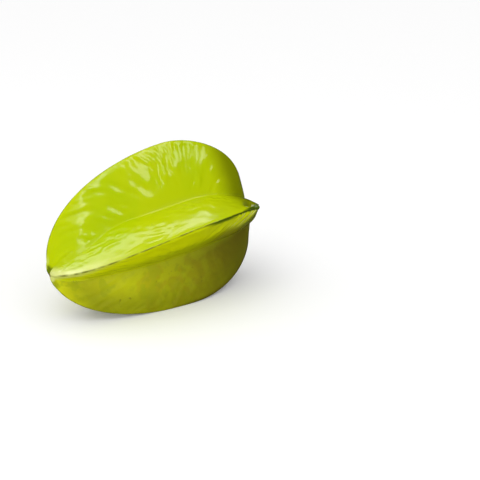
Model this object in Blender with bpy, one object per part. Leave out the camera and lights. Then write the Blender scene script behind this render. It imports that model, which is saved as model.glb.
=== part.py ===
"""Whole ripe star fruit (carambola), lying on two of its five ribs.

Metres, +Z up, standing on z = 0. The fruit's length runs along X: the tapered
blossom end points to -X and the fuller stalk end to +X.
"""

import bmesh
import bpy
from math import cos, exp, pi, radians, sin
from mathutils import Matrix, Vector

# Driving dimensions, in metres and degrees.
RIB_REACH = 0.0400  # axis to rib edge, at the widest station
BLOSSOM_LENGTH = 0.0688  # widest station to the blossom end
STALK_LENGTH = 0.0407  # widest station to the floor of the stalk hollow
EDGE_HALF_WIDTH = 0.0014  # half the thickness of a rib, just behind its edge
EDGE_ROUNDING = 0.0011  # how far the rounded edge stands past that place
FLANK_BULGE = 0.0006  # how far a flank swells past a straight line
STALK_HOLLOW = 0.0022  # how far the rib shoulders rise past the stalk scar
BLOSSOM_DIMPLE = 0.0005  # how far the rib ends pass the blossom scar
FRONT_CHEEK = 0.0050  # how far the flank under the front rib is filled out at the stalk end
REST_TILT = 6.0  # the stalk end is this much higher than the blossom end
REST_FLAT = 0.0005  # depth pressed flat where the two lower ribs touch down

# Where the axis has drifted to at each end: towards the front, upwards.
BLOSSOM_DRIFT = (0.0004, -0.0007)
STALK_DRIFT = (0.0016, -0.0027)

# The five ribs, from the top one round over the back: direction about the axis, reach
# over RIB_REACH, degrees it leans round at the blossom end and at the stalk end, and how
# full its outline is on the blossom side and on the stalk side.
RIBS = (
    (94.0, 1.092, 12.6, -6.5, 2.09, 3.43),
    (162.0, 0.850, 0.0, 0.0, 1.75, 2.40),
    (243.0, 0.9115, 27.0, 0.0, 1.80, 2.40),
    (302.0, 0.960, -3.0, -9.7, 2.09, 2.35),
    (380.5, 1.028, -9.0, 2.2, 2.09, 2.73),
)
FRONT = 4

# Groove after each rib, in the same order: degrees it lies off the middle at the widest
# station, how much more at the blossom end and at the stalk end, and how much more where it
# swerves, part way to the blossom end.
GROOVES = (
    (0.0, 0.0, 0.0, 0.0),
    (0.0, 0.0, 0.0, 0.0),
    (0.0, 0.0, 0.0, 0.0),
    (0.9, 3.5, -9.2, 0.0),
    (-2.0, -18.6, -6.9, 13.6),
)
SWERVE_PLACE = -0.0356
SWERVE_WIDTH = 0.0130

# Groove reach over the mean reach of its two ribs: at the widest station, and what is
# added at the blossom end and at the stalk end.
GROOVE_DEPTH = (0.481, -0.033, 0.035)

# How square the outline is: 2 is an ellipse, more is fuller.
BLOSSOM_OUTLINE_ALONG = 1.87
STALK_OUTLINE_ALONG = 1.82

STATIONS = 40
FLANK_STEPS = (0.0, 0.24, 0.5, 0.77)
SHARP_EDGE = 38.0
SKIN_COLOUR = (0.42, 0.52, 0.02, 1.0)


def station_angles():
    """Angles of the rings from the blossom end to the stalk end, closer at the ends."""
    first = 0.035
    steps = [first + (pi - 2 * first) * i / (STATIONS - 1) for i in range(STATIONS)]
    return [t - 0.10 * sin(2 * t) for t in steps]


def along_axis(angle):
    """Distance along the axis for a ring."""
    if cos(angle) >= 0:
        return -BLOSSOM_LENGTH * cos(angle) ** (2 / BLOSSOM_OUTLINE_ALONG)
    return STALK_LENGTH * (-cos(angle)) ** (2 / STALK_OUTLINE_ALONG)


def toward_end(x):
    """How near an end a place is, squared: its blossom side, its stalk side."""
    return (min(0.0, x) / BLOSSOM_LENGTH) ** 2, (max(0.0, x) / STALK_LENGTH) ** 2


def axis_drift(x):
    """How far the axis has drifted at a place along it."""
    blossom, stalk = toward_end(x)
    return Vector((
        -BLOSSOM_DRIFT[0] * blossom - STALK_DRIFT[0] * stalk,
        BLOSSOM_DRIFT[1] * blossom + STALK_DRIFT[1] * stalk,
    ))


def rib_edge(number, angle):
    """Direction and reach of a rib's edge on a ring."""
    direction, share, blossom_lean, stalk_lean, blossom_full, stalk_full = RIBS[number]
    blossom, stalk = toward_end(along_axis(angle))
    power = blossom_full if cos(angle) >= 0 else stalk_full
    reach = RIB_REACH * share * sin(angle) ** (2 / power)
    return direction + blossom_lean * blossom + stalk_lean * stalk, reach


def groove_bed(number, angle):
    """Direction and reach of the groove between a rib and the next one."""
    turn, reach = rib_edge(number, angle)
    next_turn, next_reach = rib_edge((number + 1) % len(RIBS), angle)
    x = along_axis(angle)
    blossom, stalk = toward_end(x)
    off, blossom_off, stalk_off, swerve = GROOVES[number]
    depth = GROOVE_DEPTH[0] + GROOVE_DEPTH[1] * blossom + GROOVE_DEPTH[2] * stalk
    middle = turn + ((next_turn - turn) % 360.0) / 2
    swerving = swerve * exp(-(((x - SWERVE_PLACE) / SWERVE_WIDTH) ** 2))
    turned = middle + off + blossom_off * blossom + stalk_off * stalk + swerving
    return turned, depth * (reach + next_reach) / 2


def pointing(turn, reach):
    """A direction about the axis and a reach, as sideways and upward distances."""
    return Vector((-reach * cos(radians(turn)), reach * sin(radians(turn))))


def shoulder_rise(reach, blossom_side):
    """How far the ribs stand past the scar, highest part way out."""
    height = BLOSSOM_DIMPLE if blossom_side else STALK_HOLLOW
    place = 0.16 if blossom_side else 0.30
    hump = (reach / place) * max(0.0, 1 - reach / (3.2 * place)) ** 1.5
    return (-1 if blossom_side else 1) * height * hump


def cheek_rise(number, step, after, reach, x):
    """How far the hollow under the front rib is filled out at the stalk end. The step is 0
    in the groove and 1 at the rib's neck."""
    if number == FRONT and not after:
        below = (1 - step) ** 1.4
    elif number == FRONT - 1 and after:
        below = 2 - (1 - step) ** 1.4
    else:
        return 0.0
    hump = 0.9 * below * below * (2 - below) ** 3
    return FRONT_CHEEK * hump * toward_end(x)[1] ** 1.5 * min(1.0, reach / (0.35 * RIB_REACH))


def ring_points(angle):
    """One closed ring round the star section, groove to edge to groove for each rib."""
    base = along_axis(angle)
    drift = axis_drift(base)
    points = []
    for number in range(len(RIBS)):
        turn, reach = rib_edge(number, angle)
        rise = shoulder_rise(reach / RIB_REACH, cos(angle) >= 0)
        half = min(EDGE_HALF_WIDTH, 0.22 * reach)
        back = min(EDGE_ROUNDING, 0.18 * reach)
        across = pointing(turn + 90.0, half)
        neck = pointing(turn, reach - back)
        bulge = FLANK_BULGE * min(1.0, 1.6 * reach / RIB_REACH)
        bed_before = pointing(*groove_bed(number - 1 if number else len(RIBS) - 1, angle))
        bed_after = pointing(*groove_bed(number, angle))
        section = [(flank_point(bed_before, neck - across, step, -bulge), step, False) for step in FLANK_STEPS]
        section.append((neck - across, 1.0, False))
        section.append((pointing(turn, reach), 1.0, False))
        section.append((neck + across, 1.0, True))
        for step in reversed(FLANK_STEPS[1:]):
            section.append((flank_point(bed_after, neck + across, step, bulge), step, True))
        for place, step, after in section:
            x = base + rise * step + cheek_rise(number, step, after, place.length, base)
            points.append(Vector((x, drift.x + place.x, drift.y + place.y)))
    return points


def flank_point(bed, neck, step, bulge):
    """A point on the flank, part of the way from its groove bed to its rib's neck."""
    run = neck - bed
    normal = Vector((-run.y, run.x)).normalized()
    return bed + run * step - normal * bulge * 4 * step * (1 - step)


def fruit_body():
    """The whole fruit as one closed body, tilted the way it rests."""
    body = bmesh.new()
    rings = []
    for angle in station_angles():
        rings.append([body.verts.new(point) for point in ring_points(angle)])
    for first, second in zip(rings, rings[1:]):
        for i, vertex in enumerate(first):
            j = (i + 1) % len(first)
            body.faces.new((vertex, first[j], second[j], second[i]))
    for ring, end in ((rings[0], -BLOSSOM_LENGTH), (rings[-1], STALK_LENGTH)):
        drift = axis_drift(end)
        tip = body.verts.new((end, drift.x, drift.y))
        for i, vertex in enumerate(ring):
            body.faces.new((vertex, ring[(i + 1) % len(ring)], tip))
    bmesh.ops.recalc_face_normals(body, faces=body.faces)
    bmesh.ops.transform(body, matrix=Matrix.Rotation(radians(-REST_TILT), 4, "Y"), verts=body.verts)
    lowest = min(vertex.co.z for vertex in body.verts)
    bmesh.ops.translate(body, vec=(0, 0, -lowest - REST_FLAT), verts=body.verts)
    flatten_underside(body)
    middle = box_middle(body)
    bmesh.ops.translate(body, vec=(-middle.x, -middle.y, 0), verts=body.verts)
    return body


def flatten_underside(body):
    """Press a small flat on each of the two ribs that carry the fruit."""
    everything = body.verts[:] + body.edges[:] + body.faces[:]
    cut = bmesh.ops.bisect_plane(
        body, geom=everything, plane_co=(0, 0, 0), plane_no=(0, 0, 1), clear_inner=True
    )
    rim = [item for item in cut["geom_cut"] if isinstance(item, bmesh.types.BMEdge)]
    bmesh.ops.contextual_create(body, geom=rim)
    bmesh.ops.recalc_face_normals(body, faces=body.faces)


def box_middle(body):
    """Middle of the box round the body."""
    low = Vector([min(vertex.co[k] for vertex in body.verts) for k in range(3)])
    high = Vector([max(vertex.co[k] for vertex in body.verts) for k in range(3)])
    return (low + high) / 2


def skin_material():
    """Plain waxy green, for telling the part apart in the CAD model."""
    material = bpy.data.materials.new("fruit_skin")
    material.use_nodes = True
    shader = material.node_tree.nodes["Principled BSDF"]
    shader.inputs["Base Color"].default_value = SKIN_COLOUR
    shader.inputs["Roughness"].default_value = 0.35
    return material


def place(name, body, material):
    """Put a finished body in the scene as a named object."""
    mesh = bpy.data.meshes.new(name)
    body.to_mesh(mesh)
    body.free()
    mesh.shade_smooth()
    mesh.set_sharp_from_angle(angle=radians(SHARP_EDGE))
    mesh.materials.append(material)
    part = bpy.data.objects.new(name, mesh)
    bpy.context.collection.objects.link(part)
    return part


def main():
    for item in list(bpy.data.objects):
        bpy.data.objects.remove(item, do_unlink=True)
    place("fruit", fruit_body(), skin_material())


main()
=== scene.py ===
"""Looks of a whole ripe star fruit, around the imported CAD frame.

Metres, +Z up. The fruit's length runs along X, tapered blossom end at -X, fuller
stalk end at +X and a little higher. It lies on two of its five ribs.
"""

from math import atan2, cos, degrees, exp, hypot, pi, radians, sin

import bpy
import numpy as np
from mathutils import Matrix, Vector, noise


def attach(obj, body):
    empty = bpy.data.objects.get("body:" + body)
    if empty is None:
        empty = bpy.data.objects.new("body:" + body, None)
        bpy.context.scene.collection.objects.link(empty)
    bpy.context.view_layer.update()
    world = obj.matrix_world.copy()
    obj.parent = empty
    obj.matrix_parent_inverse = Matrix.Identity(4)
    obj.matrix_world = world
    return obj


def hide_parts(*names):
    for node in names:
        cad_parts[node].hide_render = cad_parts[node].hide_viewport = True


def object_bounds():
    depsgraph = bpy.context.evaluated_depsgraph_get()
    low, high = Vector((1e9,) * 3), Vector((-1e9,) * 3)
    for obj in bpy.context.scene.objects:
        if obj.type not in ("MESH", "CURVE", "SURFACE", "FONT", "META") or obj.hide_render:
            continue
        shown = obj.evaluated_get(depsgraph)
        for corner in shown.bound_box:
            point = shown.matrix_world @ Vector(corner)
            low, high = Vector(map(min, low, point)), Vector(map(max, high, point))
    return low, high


MM = 0.001

# ---------------------------------------------------------------- sizes of the body

# Sizes of the fruit, the ones its solid was made from.
RIB_REACH = 0.0400
BLOSSOM_LENGTH = 0.0688
STALK_LENGTH = 0.0407
STALK_HOLLOW = 0.0022
BLOSSOM_DIMPLE = 0.0005
REST_TILT = radians(6.0)
REST_FLAT = 0.0005

# Where the axis has drifted to at each end: towards the front, upwards.
BLOSSOM_DRIFT = (0.0004, -0.0007)
STALK_DRIFT = (0.0016, -0.0027)

# The five ribs, from the top one round over the back: direction about the axis, reach
# over RIB_REACH, degrees it leans round at the blossom end and at the stalk end, and how
# full its outline is on the blossom side and on the stalk side.
RIBS = (
    (94.0, 1.092, 12.6, -6.5, 2.09, 3.43),
    (162.0, 0.850, 0.0, 0.0, 1.75, 2.40),
    (243.0, 0.9115, 27.0, 0.0, 1.80, 2.40),
    (302.0, 0.960, -3.0, -9.7, 2.09, 2.35),
    (380.5, 1.028, -9.0, 2.2, 2.09, 2.73),
)
TOP, BACK, LOWER_FRONT, FRONT = 0, 1, 3, 4

# Groove after each rib, in the same order: degrees it lies off the middle at the widest
# place, how much more at the blossom end and at the stalk end, and how much more where it
# swerves, part way to the blossom end.
GROOVES = (
    (0.0, 0.0, 0.0, 0.0),
    (0.0, 0.0, 0.0, 0.0),
    (0.0, 0.0, 0.0, 0.0),
    (0.9, 3.5, -9.2, 0.0),
    (-2.0, -18.6, -6.9, 13.6),
)
SWERVE_PLACE = -0.0356
SWERVE_WIDTH = 0.0130

# Groove reach over the mean reach of its two ribs: at the widest place, and what is
# added at the blossom end and at the stalk end.
GROOVE_DEPTH = (0.481, -0.033, 0.035)

# How far the hollow under the front rib is filled out into a cheek at the stalk end.
FRONT_CHEEK = 0.0050

# How square the outline is, along the fruit and outwards: 2 is an ellipse, more is fuller.
BLOSSOM_OUTLINE = (1.87, 2.09)
STALK_OUTLINE = (1.82, 2.60)

# The even star that the body is spun as: degrees from a rib to its groove, and a rib's
# section over its reach, which is the neck behind the rounded edge, the groove, how far
# the flank swells past a straight line, and where the lines along the flank run, from the
# neck to the groove.
HALF_RIB = 36.0
STATIONS = 24
CLOSER_AT_ENDS = 0.10
NECK_OUT, NECK_HALF = 0.984, 0.021
EVEN_GROOVE = 0.475
FLANK_SWELL = 0.015
FLANK_PLACES = (0.12, 0.42, 0.75, 0.95)
LINES_PER_HALF = len(FLANK_PLACES) + 2
STEP = HALF_RIB / LINES_PER_HALF

# How near a line, in degrees, and how near the axis, in metres, a point counts as on it.
ON_LINE = 0.5
ON_AXIS = 0.00001

# Rounds of smoothing that turn the spun body into a fine skin, and into a quick one.
FINE_LEVELS, QUICK_LEVELS = 3, 1

# Points along a rib's edge for measuring from it, how many the first search skips, and how
# many points of the skin are measured at once.
EDGE_POINTS = 161
SKIPPED = 4
AT_ONCE = 20000

# ---------------------------------------------------------------- relief, in millimetres

# The front rib's edge ends in a small turned nub, this far along it from the blossom end.
# How high the nub is, how far the flank behind it is sunk, how deep the crease under the
# edge's lip is, and how high the wrinkles gathered at the nub.
NUB_RUN = 119.0
NUB_HEIGHT = 2.2
SUNK_DEPTH = 4.5
CREASE_DEPTH = 0.45
WRINKLE_HEIGHT = 0.60
WRINKLE_SEED = 53.0

# Sizes of the ripples in the skin, along the rib's edge and across its flank. The upper
# flanks of the two side ribs ripple along their length. A flank is its rib's number and
# whether it faces the next rib.
RIPPLES_ACROSS = (4.1, 10.0)
RIPPLES_LONG = (5.0, 3.4)
LONG_RIPPLED = ((FRONT, True), (BACK, False))
LONG_RIPPLE_SHARE = 0.75
FINE_SHARES = (0.50, 0.45)
BROAD_SIZE = (11.0, 12.0)
SWING_SIZE = (16.0, 12.0)
CALM_SIZE = (17.0, 11.0)

# Heights of the broad swells, the ripples and the fine ripples on them, how far the
# ripples swing along the rib, and how their strength changes from place to place.
BROAD_HEIGHT, RIPPLE_HEIGHT, FINE_HEIGHT = 0.35, 0.50, 0.25
SWING_REACH = 3.0
MEAN_STRENGTH, STRENGTH_SPREAD = 0.85, 1.6
LEAST_STRENGTH, MOST_STRENGTH = 0.35, 1.35

# Where ripples fade: close to the edge, deep in the groove, and towards the stalk, which is
# in shares of the stalk side's length, with the share of them that goes there.
EDGE_CALM = 3.0
GROOVE_CALM, GROOVE_FADE = 26.0, 8.0
STALK_CALM, STALK_FADE, STALK_LOSS = 0.35, 0.35, 0.75

# Seeds: each flank has its own, and each kind of ripple adds its own to it.
RIB_SEED, NEXT_SIDE_SEED = 20.0, 7.0
RIPPLE_SEED, FINE_SEED, SWING_SEED, CALM_SEED = 3.1, 9.7, 33.7, 45.6

# How far the marks at the blossom tip reach along an edge, and how far their rims wander.
TIP_REACH = 60.0
TIP_WANDER = 1.6

# How far the scars at the ends reach from the axis, and how wide their soft rims are. How
# far round from the top the shaded side starts, and over how much it deepens, in degrees.
STALK_SCAR, BLOSSOM_SCAR, SCAR_RIM = 2.9, 1.3, 0.7
SHADE_STARTS, SHADE_SPREAD = 84.0, 34.0

# ---------------------------------------------------------------- finish

# Colours of the skin and its marks.
LIME = (0.48, 0.575, 0.0008)
LEAF = (0.43, 0.555, 0.0008)
# Painted shade: the deep green the upper skin darkens to towards the stalk end.
STALK_SHADE_GREEN = (0.20, 0.235, 0.0008)
# Painted light on the downward-facing flank under the front rib.
UNDERSIDE_LIGHT_LIME = (0.73, 0.81, 0.0008)
# Painted shade in the hollow under the front rib at the stalk end.
HOLLOW_SHADE_OLIVE = (0.20, 0.19, 0.001)
RIPE_OLIVE = (0.55, 0.58, 0.0008)
OCHRE = (0.48, 0.44, 0.0008)
VEIN_GREEN = (0.28, 0.34, 0.0008)
# Painted shade on the lower skin towards the stalk, and the lighter olive it eases back to at the very end.
STALK_SHADE_OLIVE = (0.125, 0.110, 0.0008)
STALK_OLIVE = (0.30, 0.33, 0.0008)
# Painted light on the lower skin towards the blossom end.
BLOSSOM_LIGHT_LIME = (0.68, 0.71, 0.004)
UNRIPE_GREEN = (0.38, 0.47, 0.0008)
KEEL_GREEN = (0.17, 0.19, 0.0008)
SPECK_BROWN = (0.13, 0.12, 0.004)
# Pale tip skin, with a painted sheen along the front rib's upper lip.
TIP_CREAM_AND_SHEEN = (0.72, 0.76, 0.26)
# Moss green of the nub and the tip, also used for painted shade in the crease under the front rib's lip.
MOSS = (0.07, 0.12, 0.002)
SCAR_BROWN = (0.12, 0.075, 0.025)
# Pale strands at the nub, partly the skin's own and partly painted highlights on its wrinkles.
STRAND_CREAM_AND_HIGHLIGHT = (0.84, 0.88, 0.34)
WORN_BROWN = (0.13, 0.135, 0.003)
# Worn brown edge of the lower front rib, darkened further by a painted contact shadow.
RIM_BROWN_AND_SHADOW = (0.085, 0.065, 0.003)
# Painted highlight above the front rib's nub.
NUB_HIGHLIGHT_CREAM = (0.75, 0.80, 0.35)

# Patches: how many to the metre, the noise they start at and are full at, and detail.
LEAF_PATCHES = (30.0, 0.40, 0.62, 3.0)
OCHRE_PATCHES = (120.0, 0.43, 0.56, 5.0)
VEIN_PATCHES = (300.0, 0.50, 0.66, 4.0)
UNRIPE_PATCHES = (130.0, 0.50, 0.58, 5.0)
SPECK_PATCHES = (420.0, 0.71, 0.78, 1.0)

# Streaks: how many to the millimetre along the edge and across the flank, and the noise
# they start at and are full at.
STRAND_STREAKS = (0.85, 0.07, 0.53, 0.66)
WORN_STREAKS = (0.16, 0.0, 0.34, 0.62)

# Where the marks on the front rib start and end, in millimetres along its edge.
CREASE_STARTS = (78.0, 92.0)
TUCK_STARTS, TUCK_ENDS = (82.0, 90.0), (96.0, 106.0)
STRANDS_START = (100.0, 112.0)
NUB_STARTS, NUB_ENDS = (105.0, 114.0), (121.0, 124.0)
NUB_HIGHLIGHT_STARTS, NUB_HIGHLIGHT_ENDS = (112.0, 114.5), (118.0, 120.0)
LOWER_MARKS_END = (121.0, 128.0)

# Roughness of the skin above and below, and on the front rib's upper flank.
SUNNY_ROUGHNESS, SHADED_ROUGHNESS = 0.11, 0.29
FRONT_UPPER_ROUGHNESS = 0.19

# ---------------------------------------------------------------- camera and light

# Camera: direction it looks from, in degrees, distance, in metres, and lens, in millimetres.
# It aims this far to the right of the widest place of the fruit's axis, and above it.
CAMERA_AZIMUTH = -37.0
CAMERA_ELEVATION = 20.85
CAMERA_DISTANCE = 0.5000
CAMERA_LENS = 76.26
AIM_RIGHT = 0.0327
AIM_UP = -0.0061

# Surroundings: the direction they are brightest from, and how bright and dim they get.
BRIGHT_SIDE = (-0.50, -0.45, 0.60)
BRIGHT_STRENGTH = 1.30
DIM_STRENGTH = 0.15

# Floor: what it shows, what it throws back on the fruit, and what the gloss sees of it.
FLOOR_SHOWN = (0.90, 0.90, 0.90)
FLOOR_THROWN = (0.60, 0.60, 0.50)
FLOOR_IN_GLOSS = (0.04, 0.04, 0.04)
FLOOR_GLOW = 0.12

# Soft lights, facing the fruit: degrees round it and above it, distance, width and height,
# and radiance. The key lights the skin, and the others only show in its gloss.
LIT_PLACE = (0, 0, 0.04)
KEY_LIGHT = ("key", -60, 55, 0.80, (0.45, 0.45), 1.6)
SHINE_LIGHTS = (
    ("window_left", -24, 48, 0.85, (0.14, 0.47), 5.2),
    ("window_middle", 14, 49, 0.85, (0.14, 0.48), 5.2),
    ("window_right", 44, 48, 0.85, (0.14, 0.47), 5.2),
    ("wall_above", 5, 63, 1.0, (1.20, 0.34), 1.4),
    ("back_wall", 180, 45, 1.0, (1.04, 0.52), 3.7),
)

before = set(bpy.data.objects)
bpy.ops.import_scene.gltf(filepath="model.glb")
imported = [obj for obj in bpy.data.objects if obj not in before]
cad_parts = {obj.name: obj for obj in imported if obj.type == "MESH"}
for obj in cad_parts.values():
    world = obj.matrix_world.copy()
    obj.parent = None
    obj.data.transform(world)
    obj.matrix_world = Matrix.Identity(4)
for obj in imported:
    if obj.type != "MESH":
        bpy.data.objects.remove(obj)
cad_low, cad_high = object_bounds()


def deselect():
    """Leave edit mode and select nothing."""
    if bpy.context.object and bpy.context.object.mode != "OBJECT":
        bpy.ops.object.mode_set(mode="OBJECT")
    bpy.ops.object.select_all(action="DESELECT")


def select_only(piece):
    """Select one piece and make it the active one."""
    deselect()
    piece.select_set(True)
    bpy.context.view_layer.objects.active = piece


def soft_step(value, start, end):
    """0 at start, 1 at end, smooth between."""
    share = min(1.0, max(0.0, (value - start) / (end - start)))
    return share * share * (3 - 2 * share)


def bump(value, middle, width):
    """1 at the middle, falling away smoothly on both sides."""
    return exp(-(((value - middle) / width) ** 2))


# ---------------------------------------------------------------- the even star


def outline_point(angle):
    """Point of a rib's edge in its own plane: distance along the axis, reach."""
    blossom_side = cos(angle) >= 0
    length = -BLOSSOM_LENGTH if blossom_side else STALK_LENGTH
    along_power, reach_power = BLOSSOM_OUTLINE if blossom_side else STALK_OUTLINE
    x = length * abs(cos(angle)) ** (2 / along_power)
    reach = RIB_REACH * max(0.0, sin(angle)) ** (2 / reach_power)
    return Vector((x, 0, reach))


def rib_edge_line():
    """The edge of one rib, drawn from the blossom end to the stalk end."""
    deselect()
    bpy.ops.mesh.primitive_plane_add(size=0.01, location=(0, 0, 0))
    piece = bpy.context.object
    piece.name = "star_fruit_skin"
    bpy.ops.object.mode_set(mode="EDIT")
    bpy.ops.mesh.merge(type="CENTER")
    here = outline_point(0.0)
    bpy.ops.transform.translate(value=here)
    for number in range(1, STATIONS + 1):
        angle = pi * number / STATIONS
        there = outline_point(angle - CLOSER_AT_ENDS * sin(2 * angle))
        step = there - here
        bpy.ops.mesh.extrude_region_move(TRANSFORM_OT_translate={"value": step})
        here = there
    return piece


def half_section():
    """Each line of half a rib, from its edge to its groove: degrees from the edge, reach."""
    turn = radians(HALF_RIB)
    groove = Vector((EVEN_GROOVE * cos(turn), EVEN_GROOVE * sin(turn)))
    neck = Vector((NECK_OUT, NECK_HALF))
    run = groove - neck
    outwards = Vector((-run.y, run.x)).normalized() * -FLANK_SWELL
    lines = [(0.0, 1.0), (degrees(atan2(neck.y, neck.x)), neck.length)]
    for place in FLANK_PLACES:
        point = neck + run * place + outwards * 4 * place * (1 - place)
        lines.append((degrees(atan2(point.y, point.x)), point.length))
    return lines + [(HALF_RIB, EVEN_GROOVE)]


def nearest_even_rib(y, z):
    """The number of the even rib that a direction is nearest, and degrees past its edge."""
    turn = degrees(atan2(y, z)) % 360.0 + HALF_RIB
    return int(turn % 360.0 // (2 * HALF_RIB)), turn % (2 * HALF_RIB) - HALF_RIB


def select_line(piece, place):
    """Select the lines of the spun body at a number of steps from each rib's edge."""
    bpy.ops.object.mode_set(mode="OBJECT")
    mesh = piece.data
    for thing in (mesh.polygons, mesh.edges, mesh.vertices):
        thing.foreach_set("select", [False] * len(thing))
    for vertex in mesh.vertices:
        from_edge = nearest_even_rib(vertex.co.y, vertex.co.z)[1]
        off_axis = hypot(vertex.co.y, vertex.co.z) > ON_AXIS
        if place == LINES_PER_HALF:
            vertex.select = off_axis and abs(abs(from_edge) - HALF_RIB) < ON_LINE
        else:
            vertex.select = off_axis and abs(from_edge - place * STEP) < ON_LINE
    bpy.ops.object.mode_set(mode="EDIT")
    bpy.ops.mesh.select_mode(type="VERT")


def spun_star(piece):
    """Spin the edge line round the axis and draw the lines between ribs in to a star."""
    steps = 2 * LINES_PER_HALF * len(RIBS)
    bpy.ops.mesh.select_all(action="SELECT")
    bpy.ops.mesh.spin(steps=steps, angle=2 * pi, center=(0, 0, 0), axis=(1, 0, 0), use_auto_merge=True)
    bpy.ops.mesh.select_all(action="SELECT")
    bpy.ops.mesh.remove_doubles(threshold=ON_AXIS)
    lines = half_section()
    select_line(piece, LINES_PER_HALF)
    share = lines[-1][1]
    bpy.ops.transform.resize(value=(1, share, share), center_override=(0, 0, 0))
    for place in range(LINES_PER_HALF - 1, 0, -1):
        turn, share = lines[place]
        for side in (1, -1):
            select_line(piece, place * side)
            bpy.ops.transform.rotate(
                value=radians(turn - place * STEP) * side,
                orient_axis="X",
                orient_type="GLOBAL",
                center_override=(0, 0, 0),
            )
            bpy.ops.transform.resize(value=(1, share, share), center_override=(0, 0, 0))
    bpy.ops.mesh.select_all(action="SELECT")
    bpy.ops.mesh.normals_make_consistent(inside=False)
    bpy.ops.object.mode_set(mode="OBJECT")


# ---------------------------------------------------------------- the fruit's own ribs


def fullness(x, reach_power):
    """Reach of an edge over its widest reach, at a place along the axis."""
    blossom_side = x < 0
    length = BLOSSOM_LENGTH if blossom_side else STALK_LENGTH
    along_power = BLOSSOM_OUTLINE[0] if blossom_side else STALK_OUTLINE[0]
    cosine = min(1.0, abs(x) / length) ** (along_power / 2)
    return (1 - cosine * cosine) ** (1 / reach_power)


def toward_end(x):
    """How near an end a place is, squared: its blossom side, its stalk side."""
    return (np.minimum(0.0, x) / BLOSSOM_LENGTH) ** 2, (np.maximum(0.0, x) / STALK_LENGTH) ** 2


def axis_drift(x):
    """How far the axis has drifted at a place along it, sideways and upwards."""
    blossom, stalk = toward_end(x)
    return (
        -BLOSSOM_DRIFT[0] * blossom - STALK_DRIFT[0] * stalk,
        BLOSSOM_DRIFT[1] * blossom + STALK_DRIFT[1] * stalk,
    )


def rib_edge(number, x):
    """Direction, in degrees, and reach of a rib's edge at a place along the axis."""
    direction, share, blossom_lean, stalk_lean, blossom_full, stalk_full = RIBS[number]
    blossom, stalk = toward_end(x)
    power = blossom_full if x < 0 else stalk_full
    turn = direction + blossom_lean * blossom + stalk_lean * stalk
    return turn, RIB_REACH * share * fullness(x, power)


def groove_bed(number, x):
    """Direction and reach of the groove between a rib and the next one."""
    turn, reach = rib_edge(number, x)
    next_turn, next_reach = rib_edge((number + 1) % len(RIBS), x)
    blossom, stalk = toward_end(x)
    off, blossom_off, stalk_off, swerve = GROOVES[number]
    depth = GROOVE_DEPTH[0] + GROOVE_DEPTH[1] * blossom + GROOVE_DEPTH[2] * stalk
    middle = turn + ((next_turn - turn) % 360.0) / 2
    swerving = swerve * bump(x, SWERVE_PLACE, SWERVE_WIDTH)
    turned = middle + off + blossom_off * blossom + stalk_off * stalk + swerving
    return turned, depth * (reach + next_reach) / 2


def pointing(turn, reach):
    """A direction about the axis and a reach, as sideways and upward distances."""
    return -reach * cos(radians(turn)), reach * sin(radians(turn))


def cheek_rise(number, turn, full, x):
    """How far the hollow under the front rib is filled out at the stalk end. The turn is 0
    on the rib's edge and 1 in the groove after it, -1 in the one before."""
    if number == FRONT and turn < 0:
        below = -turn
    elif number == LOWER_FRONT and turn > 0:
        below = 2.0 - turn
    else:
        return 0.0
    hump = 0.9 * below * below * (2.0 - below) ** 3
    return FRONT_CHEEK * hump * toward_end(x)[1] ** 1.5 * min(1.0, full / 0.35)


def shoulder_rise(full, blossom_side):
    """How far the ribs stand past the scar, highest part way out."""
    height = BLOSSOM_DIMPLE if blossom_side else STALK_HOLLOW
    place = 0.16 if blossom_side else 0.30
    hump = (full / place) * max(0.0, 1 - full / (3.2 * place)) ** 1.5
    return (-1 if blossom_side else 1) * height * hump


def grow_unevenly(piece):
    """Stretch the five equal ribs to their own edges and grooves, and raise their
    shoulders round the scar at each end."""
    groove_turn = radians(HALF_RIB)
    for vertex in piece.data.vertices:
        x, y, z = vertex.co
        drift = axis_drift(x)
        power = BLOSSOM_OUTLINE[1] if x < 0 else STALK_OUTLINE[1]
        even_reach = RIB_REACH * fullness(x, power)
        reach = hypot(y, z)
        if reach < ON_AXIS:
            vertex.co = (x, drift[0], drift[1])
            continue
        number, from_edge = nearest_even_rib(y, z)
        out, side = reach * cos(radians(from_edge)), reach * sin(radians(abs(from_edge)))
        groove_part = side / (even_reach * EVEN_GROOVE * sin(groove_turn))
        edge_part = out / even_reach - groove_part * EVEN_GROOVE * cos(groove_turn)
        edge_y, edge_z = pointing(*rib_edge(number, x))
        bed_y, bed_z = pointing(*groove_bed(number if from_edge > 0 else (number - 1) % len(RIBS), x))
        turn, full = from_edge / HALF_RIB, reach / RIB_REACH
        rise = shoulder_rise(full, x < 0) * (1 - abs(turn)) + cheek_rise(number, turn, full, x)
        vertex.co = (
            x + rise,
            drift[0] + edge_y * edge_part + bed_y * groove_part,
            drift[1] + edge_z * edge_part + bed_z * groove_part,
        )


def refine(piece, levels):
    """Smooth the spun body into a fine skin."""
    modifier = piece.modifiers.new("fine_skin", "SUBSURF")
    modifier.levels = levels
    modifier.render_levels = levels
    select_only(piece)
    bpy.ops.object.modifier_apply(modifier=modifier.name)


# ---------------------------------------------------------------- measuring from the edges


def vertex_rows(mesh, name):
    """The places or normals of a mesh's points, a row for each."""
    values = np.empty(len(mesh.vertices) * 3)
    mesh.vertices.foreach_get(name, values)
    return values.reshape(-1, 3)


def edge_curve(number):
    """Points along a rib's edge from the blossom end to the stalk end."""
    points = []
    for i in range(EDGE_POINTS):
        x = outline_point(pi * i / (EDGE_POINTS - 1)).x
        drift = axis_drift(x)
        y, z = pointing(*rib_edge(number, x))
        points.append((x, drift[0] + y, drift[1] + z))
    return np.array(points)


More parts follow.
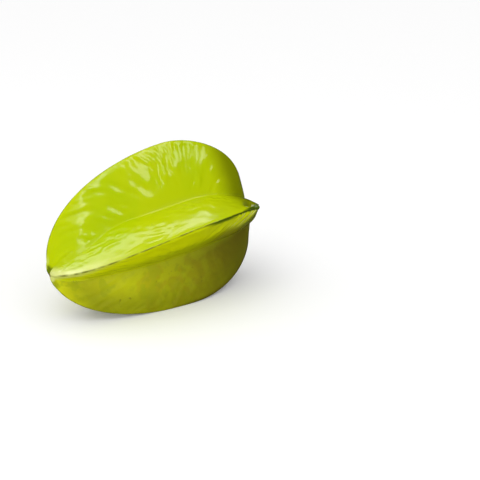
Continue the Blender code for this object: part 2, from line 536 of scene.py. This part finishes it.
def beside_edge(co, curve, lengths):
    """For some points and a rib's edge: how far from it they are, how far along it, and
    above zero on the side that faces the next rib."""
    coarse = curve[::SKIPPED]
    far = (coarse * coarse).sum(axis=1)[None, :] - 2 * co @ coarse.T
    nearest = far.argmin(axis=1) * SKIPPED
    before, after = np.maximum(nearest - SKIPPED, 0), np.minimum(nearest + SKIPPED, len(curve) - 1)
    chord = curve[after] - curve[before]
    offset = co - curve[before]
    share = np.clip((offset * chord).sum(axis=1) / (chord * chord).sum(axis=1), 0, 1)
    foot = curve[before] + chord * share[:, None]
    gap = np.linalg.norm(co - foot, axis=1)
    run = lengths[before] + (lengths[after] - lengths[before]) * share
    axis = np.stack(axis_drift(foot[:, 0]), axis=1)
    radial, beside = foot[:, 1:] - axis, co[:, 1:] - axis
    return gap, run, radial[:, 1] * beside[:, 0] - radial[:, 0] * beside[:, 1]


def beside_ribs(co):
    """For every point of the skin: the number of its rib, the side of the rib it is on, its
    distance from the rib's edge, and how far along the edge it is."""
    gaps, runs, turns = np.empty((3, len(RIBS), len(co)))
    for number in range(len(RIBS)):
        curve = edge_curve(number)
        steps = np.linalg.norm(np.diff(curve, axis=0), axis=1)
        lengths = np.concatenate(([0.0], np.cumsum(steps)))
        for start in range(0, len(co), AT_ONCE):
            part = slice(start, start + AT_ONCE)
            gap, run, turn = beside_edge(co[part], curve, lengths)
            gaps[number, part], runs[number, part], turns[number, part] = gap, run, turn
    rib = gaps.argmin(axis=0)
    own = np.arange(len(co))
    return rib, np.sign(turns[rib, own]), gaps[rib, own], runs[rib, own]


# ---------------------------------------------------------------- relief and marks


def flank_noise(run, depth, size, seed):
    """Smooth noise over a flank, at a size along its rib's edge and a size across it."""
    return noise.noise(Vector((run / size[0], depth / size[1], seed)))


def ripple_slant(run):
    """How far a ripple slants towards the stalk end for each millimetre in from the edge."""
    return 1.1 - 1.3 * soft_step(run, 45.0, 105.0)


def ripple_fade(stalkward, depth):
    """How strong the ripples are, from 0 at an edge or deep in a groove to 1 between."""
    fade = min(1.0, depth / EDGE_CALM) * min(1.0, max(0.0, GROOVE_CALM - depth) / GROOVE_FADE)
    return fade * (1.0 - STALK_LOSS * min(1.0, max(0.0, stalkward - STALK_CALM) / STALK_FADE))


def ripples(flank, stalkward, run, depth):
    """Height of the ripples at a point of a flank, and the noise of the main ripple alone."""
    rib, faces_next = flank
    long_rippled = flank in LONG_RIPPLED
    size = RIPPLES_LONG if long_rippled else RIPPLES_ACROSS
    fine_size = (FINE_SHARES[0] * size[0], FINE_SHARES[1] * size[1])
    seed = rib * RIB_SEED + (NEXT_SIDE_SEED if faces_next else 0.0)
    swing = SWING_REACH * flank_noise(run, depth, SWING_SIZE, seed + SWING_SEED)
    if not long_rippled:
        swing -= ripple_slant(run) * depth
    broad = flank_noise(run, depth, BROAD_SIZE, seed)
    ripple = flank_noise(run + swing, depth, size, seed + RIPPLE_SEED)
    fine = flank_noise(run + swing, depth, fine_size, seed + FINE_SEED)
    strength = MEAN_STRENGTH + STRENGTH_SPREAD * flank_noise(run, depth, CALM_SIZE, seed + CALM_SEED)
    strength = min(MOST_STRENGTH, max(LEAST_STRENGTH, strength))
    height = BROAD_HEIGHT * broad + (RIPPLE_HEIGHT * ripple + FINE_HEIGHT * fine) * strength
    height *= ripple_fade(stalkward, depth) * (LONG_RIPPLE_SHARE if long_rippled else 1.0)
    return height, ripple


def front_edge_relief(run, depth, upper):
    """Height of the front rib's turned edge: the nub it ends in, the flank sunk behind the
    nub, the crease under its lip, and the wrinkles gathered at the nub."""
    height = NUB_HEIGHT * bump(run, NUB_RUN + 0.5, 1.5) * bump(depth, 0.0, 1.0)
    if upper:
        return height - SUNK_DEPTH * bump(run, NUB_RUN + 4.0, 6.0) * bump(depth, 3.6, 2.2)
    height -= CREASE_DEPTH * soft_step(run, 50.0, 90.0) * bump(depth, 1.1, 0.5)
    gather = soft_step(NUB_RUN - run, 24.0, 12.0) * soft_step(depth, 0.5, 2.0) * soft_step(depth, 16.0, 9.0)
    fold = noise.noise(Vector((run / 1.5 + 0.10 * depth, depth / 8.0, WRINKLE_SEED)))
    return height + WRINKLE_HEIGHT * gather * fold


def tip_marks(rib, upper, run, depth):
    """How pale the skin is round the blossom tip, partly its own pale tip and partly a painted sheen along
    the front rib's upper lip, and how dark green, each from 0 to 1.
    """
    if rib == FRONT:
        # The front rib's pale band is partly a painted sheen along its upper lip.
        if upper:
            return soft_step(run, 55.0, 8.0) * soft_step(depth, 5.0, 0.8), 0.0
        return 0.8 * soft_step(run, 45.0, 8.0) * soft_step(depth, 4.6, 1.0), 0.0
    if rib in (TOP, BACK):
        return 0.4 * bump(run, 6.5, 1.8) * soft_step(depth, 2.0, 0.6), soft_step(run, 4.8, 3.4)
    green = 0.5 * soft_step(run, 3.0, 4.2) * soft_step(run, 8.0, 5.5) * soft_step(depth, 2.8, 1.4)
    return 0.8 * soft_step(run, 4.0, 3.0), green


def under_front_marks(run, depth):
    """On the front rib's lower flank: how much painted light brightens it, as far as its groove along the
    middle, and how much painted shade darkens the hollow at the stalk end, each from 0 to 1."""
    far = 14.0 + 8.0 * soft_step(run, 30.0, 75.0)
    bright = soft_step(depth, far, far - 9.0) * soft_step(run, NUB_RUN + 9.0, NUB_RUN + 1.0)
    return bright, 0.75 * soft_step(run, 92.0, 112.0) * soft_step(depth, 8.0, 17.0)


def scars_and_shade(co):
    """How much of a scar, and how far into the side that grew in the shade, every point of
    the skin is, each from 0 to 1."""
    drift_y, drift_z = axis_drift(co[:, 0])
    y, z = co[:, 1] - drift_y, co[:, 2] - drift_z
    scar_reach = np.where(co[:, 0] > 0, STALK_SCAR, BLOSSOM_SCAR)
    scar = np.clip((scar_reach - np.hypot(y, z) / MM) / SCAR_RIM, 0, 1)
    from_top = np.abs(np.degrees(np.arctan2(y, z)))
    return scar, np.clip((from_top - SHADE_STARTS) / SHADE_SPREAD, 0, 1)


def raise_relief(piece):
    """Ripple the flanks and wrinkle the front rib's edge, and leave on the skin the marks
    that its colours are worked out from."""
    mesh = piece.data
    co, normal = vertex_rows(mesh, "co"), vertex_rows(mesh, "normal")
    rib, side, gap, along = beside_ribs(co)
    stalkward = co[:, 0] / STALK_LENGTH
    height, pale, green, bright, dark = np.zeros((5, len(co)))
    for i in range(len(co)):
        run, depth = along[i] / MM, gap[i] / MM
        number, faces_next = int(rib[i]), bool(side[i] > 0)
        height[i], ripple = ripples((number, faces_next), stalkward[i], run, depth)
        if number == FRONT:
            height[i] += front_edge_relief(run, depth, faces_next)
        # Painted light on the front rib's lower flank, and painted shade in its hollow at the stalk end.
        if number == FRONT and side[i] < 0:
            bright[i], dark[i] = under_front_marks(run, depth)
        if run < TIP_REACH:
            pale[i], green[i] = tip_marks(number, faces_next, run + TIP_WANDER * ripple, depth)
    scar, shaded = scars_and_shade(co)
    mesh.vertices.foreach_set("co", (co + normal * height[:, None] * MM).ravel())
    marks = (
        ("edge_gap", gap / MM),
        ("edge_run", along / MM),
        ("edge_side", side),
        ("front_rib", rib == FRONT),
        ("lower_rib", rib == LOWER_FRONT),
        ("tip_pale_and_sheen", pale),
        ("tip_green", green),
        ("under_front_light", bright),
        ("stalk_hollow_shade", dark),
        ("end_scar", scar),
        ("shaded_side", shaded),
        ("toward_stalk", stalkward),
    )
    for name, values in marks:
        layer = mesh.attributes.new(name, "FLOAT", "POINT")
        layer.data.foreach_set("value", values.astype(np.float32))
    mesh.update()


def lay_down(piece):
    """Tilt the fruit to its rest, press the two lower ribs flat and set it on the CAD
    place. Returns where the widest place of its axis has come to."""
    mesh = piece.data
    mesh.transform(Matrix.Rotation(-REST_TILT, 4, "Y"))
    co = vertex_rows(mesh, "co")
    low, high = co.min(axis=0), co.max(axis=0)
    middle = np.array([cad_low[:], cad_high[:]]).mean(axis=0)
    shift = (middle[0] - (low[0] + high[0]) / 2, middle[1] - (low[1] + high[1]) / 2, -low[2] - REST_FLAT)
    co += shift
    co[:, 2] = np.maximum(co[:, 2], 0.0)
    mesh.vertices.foreach_set("co", co.ravel())
    mesh.update()
    return Vector(shift)


# ---------------------------------------------------------------- the skin's material


def new_group(name, sockets):
    """An empty shader node group with float inputs and one output, Amount."""
    group = bpy.data.node_groups.new(name, "ShaderNodeTree")
    for socket_name, value in sockets.items():
        socket = group.interface.new_socket(name=socket_name, in_out="INPUT", socket_type="NodeSocketFloat")
        socket.default_value = value
    group.interface.new_socket(name="Amount", in_out="OUTPUT", socket_type="NodeSocketFloat")
    return group, group.nodes.new("NodeGroupInput"), group.nodes.new("NodeGroupOutput")


def soft_threshold(group, given, cloud, result):
    """Turn a noise into patches from 0 to 1, between the group's From and To."""
    edge = group.nodes.new("ShaderNodeMapRange")
    edge.interpolation_type = "SMOOTHSTEP"
    group.links.new(cloud.outputs["Fac"], edge.inputs["Value"])
    group.links.new(given.outputs["From"], edge.inputs["From Min"])
    group.links.new(given.outputs["To"], edge.inputs["From Max"])
    group.links.new(edge.outputs["Result"], result.inputs["Amount"])


def patches_group():
    """Node group: soft-edged patches of growth, from 0 to 1, spread over the fruit."""
    sockets = {"Size per Metre": 60.0, "Detail": 3.0, "From": 0.4, "To": 0.6}
    group, given, result = new_group("growth_patches", sockets)
    place = group.nodes.new("ShaderNodeTexCoord")
    cloud = group.nodes.new("ShaderNodeTexNoise")
    cloud.inputs["Roughness"].default_value = 0.55
    group.links.new(place.outputs["Object"], cloud.inputs["Vector"])
    group.links.new(given.outputs["Size per Metre"], cloud.inputs["Scale"])
    group.links.new(given.outputs["Detail"], cloud.inputs["Detail"])
    soft_threshold(group, given, cloud, result)
    return group


def streaks_group():
    """Node group: streaks laid out by the distance along and from a rib's edge."""
    sockets = {"Run": 0.0, "Gap": 0.0, "Run Scale": 0.5, "Gap Scale": 0.2, "From": 0.4, "To": 0.6}
    group, given, result = new_group("rib_streaks", sockets)
    place = group.nodes.new("ShaderNodeCombineXYZ")
    for socket, distance, scale in (("X", "Run", "Run Scale"), ("Y", "Gap", "Gap Scale")):
        scaled = group.nodes.new("ShaderNodeMath")
        scaled.operation = "MULTIPLY"
        group.links.new(given.outputs[distance], scaled.inputs[0])
        group.links.new(given.outputs[scale], scaled.inputs[1])
        group.links.new(scaled.outputs["Value"], place.inputs[socket])
    cloud = group.nodes.new("ShaderNodeTexNoise")
    cloud.inputs["Scale"].default_value = 1.0
    cloud.inputs["Detail"].default_value = 2.0
    group.links.new(place.outputs["Vector"], cloud.inputs["Vector"])
    soft_threshold(group, given, cloud, result)
    return group


class Recipe:
    """Short ways of writing a material's nodes."""

    def __init__(self, name):
        self.material = bpy.data.materials.new(name)
        self.material.use_nodes = True
        self.nodes = self.material.node_tree.nodes
        self.links = self.material.node_tree.links
        self.shader = self.nodes["Principled BSDF"]

    def put(self, source, node, socket):
        """Link a source, or set a plain value."""
        if isinstance(source, bpy.types.NodeSocket):
            self.links.new(source, node.inputs[socket])
        else:
            node.inputs[socket].default_value = source

    def attribute(self, name):
        """A mark that the mesh holds."""
        node = self.nodes.new("ShaderNodeAttribute")
        node.attribute_name = name
        return node.outputs["Fac"]

    def grouped(self, group, values):
        """The amount that a node group puts out, given values for its inputs."""
        node = self.nodes.new("ShaderNodeGroup")
        node.node_tree = group
        for socket, value in values.items():
            self.put(value, node, socket)
        return node.outputs["Amount"]

    def ramp(self, value, low, high, start=0.0, end=1.0):
        """A smooth change from start to end while a value goes from low to high."""
        node = self.nodes.new("ShaderNodeMapRange")
        node.interpolation_type = "SMOOTHSTEP"
        self.put(value, node, "Value")
        node.inputs["From Min"].default_value = low
        node.inputs["From Max"].default_value = high
        node.inputs["To Min"].default_value = start
        node.inputs["To Max"].default_value = end
        return node.outputs["Result"]

    def times(self, first, *others):
        """Shares multiplied together."""
        for other in others:
            node = self.nodes.new("ShaderNodeMath")
            node.operation = "MULTIPLY"
            self.put(first, node, 0)
            self.put(other, node, 1)
            first = node.outputs["Value"]
        return first

    def mix(self, share, first, second):
        """A colour between two, by a share."""
        node = self.nodes.new("ShaderNodeMix")
        node.data_type = "RGBA"
        self.put(share, node, 0)
        for socket, colour in ((6, first), (7, second)):
            if isinstance(colour, bpy.types.NodeSocket):
                self.links.new(colour, node.inputs[socket])
            else:
                node.inputs[socket].default_value = (*colour, 1.0)
        return node.outputs[2]

    def level(self, share, first, second):
        """A plain value between two, by a share."""
        node = self.nodes.new("ShaderNodeMix")
        node.data_type = "FLOAT"
        for socket, source in ((0, share), (2, first), (3, second)):
            self.put(source, node, socket)
        return node.outputs[0]


class SkinRecipe(Recipe):
    """Waxy lime-green skin: riper low on the fruit, scuffed along the rib edges, pale and corky at the
    blossom tip with a painted sheen along the front rib's upper lip there, wrinkled and dark green where
    the front rib's edge ends.
    Painted shade darkens it towards the stalk end and in the hollow and crease under the front rib, painted
    light brightens the front rib's lower flank and the lower skin towards the blossom, and painted
    highlights lie above the nub and on its wrinkles.

    gap and run are millimetres from and along the nearest rib's edge. stalkward is 0 at the
    widest place, 1 at the stalk end and -1.7 at the blossom end."""

    def __init__(self):
        super().__init__("star_fruit_skin")
        self.patch_group, self.streak_group = patches_group(), streaks_group()
        self.gap, self.run = self.attribute("edge_gap"), self.attribute("edge_run")
        self.shaded, self.stalkward = self.attribute("shaded_side"), self.attribute("toward_stalk")
        self.front, self.low = self.attribute("front_rib"), self.attribute("lower_rib")
        upper = self.ramp(self.attribute("edge_side"), -0.3, 0.3)
        self.front_upper = self.times(self.front, upper)
        self.front_lower = self.times(self.front, self.ramp(upper, 1.0, 0.0))

    def patches(self, kind):
        """Soft-edged patches of growth, from 0 to 1."""
        values = dict(zip(("Size per Metre", "From", "To", "Detail"), kind))
        return self.grouped(self.patch_group, values)

    def streaks(self, kind):
        """Streaks across the flank from a rib's edge, from 0 to 1."""
        values = dict(zip(("Run Scale", "Gap Scale", "From", "To"), kind))
        return self.grouped(self.streak_group, {"Run": self.run, "Gap": self.gap, **values})

    def stretch(self, starts, ends):
        """1 along a stretch of a rib's edge, with a soft start and end."""
        return self.times(self.ramp(self.run, *starts), self.ramp(self.run, ends[1], ends[0]))

    def young_skin(self):
        """Lime green with leaf-green patches, darkened by painted shade towards the stalk end."""
        colour = self.mix(self.patches(LEAF_PATCHES), LIME, LEAF)
        # Painted shade, deepening towards the stalk end.
        return self.mix(self.ramp(self.stalkward, 0.46, 0.84), colour, STALK_SHADE_GREEN)

    def ripe_skin(self):
        """Olive and ochre with green veins, darkened by painted shade towards the stalk, lightened by
        painted light and greener towards the blossom, and dark green along the lower front rib's keel."""
        colour = self.mix(self.patches(OCHRE_PATCHES), RIPE_OLIVE, OCHRE)
        colour = self.mix(self.times(self.patches(VEIN_PATCHES), 0.40), colour, VEIN_GREEN)
        # Painted shade, darkening the lower skin towards the stalk end.
        colour = self.mix(self.ramp(self.stalkward, -0.95, 0.75), colour, STALK_SHADE_OLIVE)
        # The painted shade eases back to a lighter olive at the very stalk end.
        colour = self.mix(self.ramp(self.stalkward, 0.80, 1.05, 0.0, 0.50), colour, STALK_OLIVE)
        # Painted light, lightening the lower skin towards the blossom end.
        colour = self.mix(self.ramp(self.stalkward, -0.40, -1.15, 0.0, 0.70), colour, BLOSSOM_LIGHT_LIME)
        unripe = self.times(
            self.patches(UNRIPE_PATCHES),
            self.ramp(self.stalkward, 0.3, -0.8, 0.0, 0.42),
        )
        colour = self.mix(unripe, colour, UNRIPE_GREEN)
        keel = self.times(
            self.low,
            self.ramp(self.stalkward, -1.68, -1.30),
            self.ramp(self.gap, 16.0, 4.0),
            self.ramp(self.stalkward, 0.2, -0.9, 0.36, 0.62),
        )
        return self.mix(keel, colour, KEEL_GREEN)

    def flank_colour(self):
        """Young skin above and ripe skin below, with painted light on the flank under the front rib,
        painted shade in the hollow at its stalk end, and brown specks."""
        colour = self.mix(self.shaded, self.young_skin(), self.ripe_skin())
        # Painted light on the flank under the front rib.
        colour = self.mix(self.attribute("under_front_light"), colour, UNDERSIDE_LIGHT_LIME)
        # Painted shade in the hollow under the front rib at the stalk end.
        colour = self.mix(self.attribute("stalk_hollow_shade"), colour, HOLLOW_SHADE_OLIVE)
        specks = self.times(self.patches(SPECK_PATCHES), self.ramp(self.shaded, 0.3, 0.8, 0.0, 0.5))
        return self.mix(specks, colour, SPECK_BROWN)

    def end_marks(self, colour):
        """The pale blossom tip, partly pale skin and partly a painted sheen, the dark green at the tip, and
        the scar at each end.
        """
        colour = self.mix(self.attribute("tip_pale_and_sheen"), colour, TIP_CREAM_AND_SHEEN)
        colour = self.mix(self.times(self.attribute("tip_green"), 0.8), colour, MOSS)
        return self.mix(self.attribute("end_scar"), colour, SCAR_BROWN)

    def edge_marks(self, colour):
        """Pale strands gathered at the nub, partly pale skin and partly painted highlights on its wrinkles,
        the worn line along every edge, and the brown rim of the lower front rib, partly wear and partly a
        painted contact shadow."""
        # Pale strands at the nub, partly painted highlights on its wrinkles.
        strands = self.times(
            self.front_lower,
            self.stretch(STRANDS_START, LOWER_MARKS_END),
            self.streaks(STRAND_STREAKS),
            self.ramp(self.gap, 17.0, 8.0, 0.15, 0.90),
        )
        colour = self.mix(strands, colour, STRAND_CREAM_AND_HIGHLIGHT)
        worn = self.times(
            self.ramp(self.gap, 0.65, 0.30),
            self.ramp(self.streaks(WORN_STREAKS), 0.0, 1.0, 0.25, 0.85),
            self.ramp(self.run, 5.0, 12.0),
            self.ramp(self.front, 0.0, 1.0, 0.9, 1.0),
        )
        colour = self.mix(worn, colour, WORN_BROWN)
        # Worn brown rim of the lower front rib, partly a painted contact shadow.
        rim = self.times(
            self.low,
            self.ramp(self.stalkward, -0.7, 0.0),
            self.ramp(self.gap, 2.6, 0.5, 0.0, 0.75),
        )
        return self.mix(rim, colour, RIM_BROWN_AND_SHADOW)

    def front_edge_marks(self, colour):
        """Moss green on the nub and in the crease and the tuck under the front rib's lip, partly the edge's
        own dark line and partly painted shade in the crease, and a painted highlight above the nub."""
        # Dark line in the crease under the lip, partly painted shade.
        crease = self.times(
            self.front_lower,
            self.stretch(CREASE_STARTS, LOWER_MARKS_END),
            self.ramp(self.gap, 2.0, 1.1),
        )
        # The crease's thick part, partly painted shade.
        tuck = self.times(
            self.front_lower,
            self.stretch(TUCK_STARTS, TUCK_ENDS),
            self.ramp(self.gap, 3.2, 1.9, 0.0, 0.85),
        )
        nub = self.times(
            self.front,
            self.stretch(NUB_STARTS, NUB_ENDS),
            self.ramp(self.gap, 1.3, 0.7),
        )
        for mark in (crease, tuck, nub):
            colour = self.mix(mark, colour, MOSS)
        # Painted highlight above the nub.
        nub_highlight = self.times(
            self.front_upper,
            self.stretch(NUB_HIGHLIGHT_STARTS, NUB_HIGHLIGHT_ENDS),
            self.ramp(self.gap, 1.8, 2.2),
            self.ramp(self.gap, 3.3, 2.7),
        )
        return self.mix(nub_highlight, colour, NUB_HIGHLIGHT_CREAM)

    def finish(self):
        """Wire up the shader. Gives the finished material."""
        colour = self.edge_marks(self.end_marks(self.flank_colour()))
        self.links.new(self.front_edge_marks(colour), self.shader.inputs["Base Color"])
        dull = self.ramp(self.shaded, 0.2, 0.9, SUNNY_ROUGHNESS, SHADED_ROUGHNESS)
        dull = self.level(self.front_upper, dull, FRONT_UPPER_ROUGHNESS)
        self.links.new(dull, self.shader.inputs["Roughness"])
        self.shader.inputs["Specular IOR Level"].default_value = 0.30
        self.shader.inputs["Subsurface Weight"].default_value = 0.15
        self.shader.inputs["Subsurface Radius"].default_value = (1.0, 1.0, 0.1)
        self.shader.inputs["Subsurface Scale"].default_value = 0.002
        return self.material


def whole_fruit():
    """The fruit's skin, from the edge line to the finished mesh."""
    skin = rib_edge_line()
    spun_star(skin)
    grow_unevenly(skin)
    refine(skin, FINE_LEVELS)
    raise_relief(skin)
    middle = lay_down(skin)
    select_only(skin)
    bpy.ops.object.shade_smooth()
    skin.data.materials.clear()
    skin.data.materials.append(SkinRecipe().finish())
    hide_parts("fruit")
    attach(skin, "root")
    return middle


# ---------------------------------------------------------------- floor, light, camera


def floor():
    """Plain white floor, which throws little light back up under the fruit."""
    deselect()
    bpy.ops.mesh.primitive_plane_add(size=8.0, location=(0, 0, 0))
    ground = bpy.context.object
    ground.name = "floor"
    recipe = Recipe("floor_white")
    path = recipe.nodes.new("ShaderNodeLightPath")
    seen = path.outputs["Is Camera Ray"]
    thrown = recipe.mix(path.outputs["Is Glossy Ray"], FLOOR_THROWN, FLOOR_IN_GLOSS)
    recipe.links.new(recipe.mix(seen, thrown, FLOOR_SHOWN), recipe.shader.inputs["Base Color"])
    recipe.shader.inputs["Emission Color"].default_value = (1, 1, 1, 1)
    recipe.links.new(recipe.times(seen, FLOOR_GLOW), recipe.shader.inputs["Emission Strength"])
    recipe.shader.inputs["Roughness"].default_value = 0.8
    recipe.shader.inputs["Specular IOR Level"].default_value = 0.0
    ground.data.materials.append(recipe.material)


def looking_from(turn, lift):
    """The direction towards something that many degrees round the fruit and above it."""
    turn, lift = radians(turn), radians(lift)
    return Vector((sin(turn) * cos(lift), -cos(turn) * cos(lift), sin(lift)))


def soft_light(name, turn, lift, distance, size, radiance):
    """A soft rectangular light round the fruit, facing it."""
    light = bpy.data.lights.new(name, "AREA")
    light.shape = "RECTANGLE"
    light.size, light.size_y = size
    light.energy = radiance * pi * size[0] * size[1]
    lamp = bpy.data.objects.new(name, light)
    bpy.context.collection.objects.link(lamp)
    away = looking_from(turn, lift)
    lamp.location = Vector(LIT_PLACE) + away * distance
    lamp.rotation_euler = away.to_track_quat("Z", "Y").to_euler()
    return lamp


def surroundings():
    """Pale surroundings, brightest above and to the left, dimmer low on the right. They are
    plain white to the camera and don't show in the gloss."""
    world = bpy.data.worlds.new("studio_white")
    world.use_nodes = True
    nodes, links = world.node_tree.nodes, world.node_tree.links
    direction = nodes.new("ShaderNodeTexCoord")
    along = nodes.new("ShaderNodeVectorMath")
    along.operation = "DOT_PRODUCT"
    along.inputs[1].default_value = Vector(BRIGHT_SIDE).normalized()
    spread = nodes.new("ShaderNodeMapRange")
    spread.interpolation_type = "SMOOTHSTEP"
    spread.inputs["From Min"].default_value = -0.6
    spread.inputs["From Max"].default_value = 1.0
    spread.inputs["To Min"].default_value = DIM_STRENGTH
    spread.inputs["To Max"].default_value = BRIGHT_STRENGTH
    links.new(direction.outputs["Generated"], along.inputs[0])
    links.new(along.outputs["Value"], spread.inputs["Value"])
    path = nodes.new("ShaderNodeLightPath")
    shown = nodes.new("ShaderNodeMix")
    links.new(path.outputs["Is Camera Ray"], shown.inputs[0])
    links.new(spread.outputs["Result"], shown.inputs[2])
    shown.inputs[3].default_value = 1.0
    links.new(shown.outputs[0], nodes["Background"].inputs["Strength"])
    nodes["Background"].inputs["Color"].default_value = (1, 1, 1, 1)
    world.cycles_visibility.glossy = False
    bpy.context.scene.world = world


def studio():
    """Pale surroundings and a soft key light the skin. Three windows, a wall above and a
    broad wall behind show in its gloss alone."""
    surroundings()
    soft_light(*KEY_LIGHT).visible_glossy = False
    for light in SHINE_LIGHTS:
        soft_light(*light).visible_diffuse = False
    bpy.context.scene.view_settings.view_transform = "Standard"


def camera(fruit_middle):
    """The viewing angle, with the fruit left of the middle."""
    lens = bpy.data.cameras.new("camera")
    lens.lens = CAMERA_LENS
    lens.sensor_width = 36.0
    lens.clip_start = 0.01
    viewer = bpy.data.objects.new("camera", lens)
    bpy.context.collection.objects.link(viewer)
    turn = radians(CAMERA_AZIMUTH)
    back = looking_from(CAMERA_AZIMUTH, CAMERA_ELEVATION)
    right = Vector((cos(turn), sin(turn), 0))
    up = right.cross(-back).normalized()
    aim = fruit_middle + right * AIM_RIGHT + up * AIM_UP
    viewer.location = aim + back * CAMERA_DISTANCE
    viewer.rotation_euler = (-back).to_track_quat("-Z", "Y").to_euler()
    bpy.context.scene.camera = viewer


fruit_middle = whole_fruit()
floor()
studio()
camera(fruit_middle)
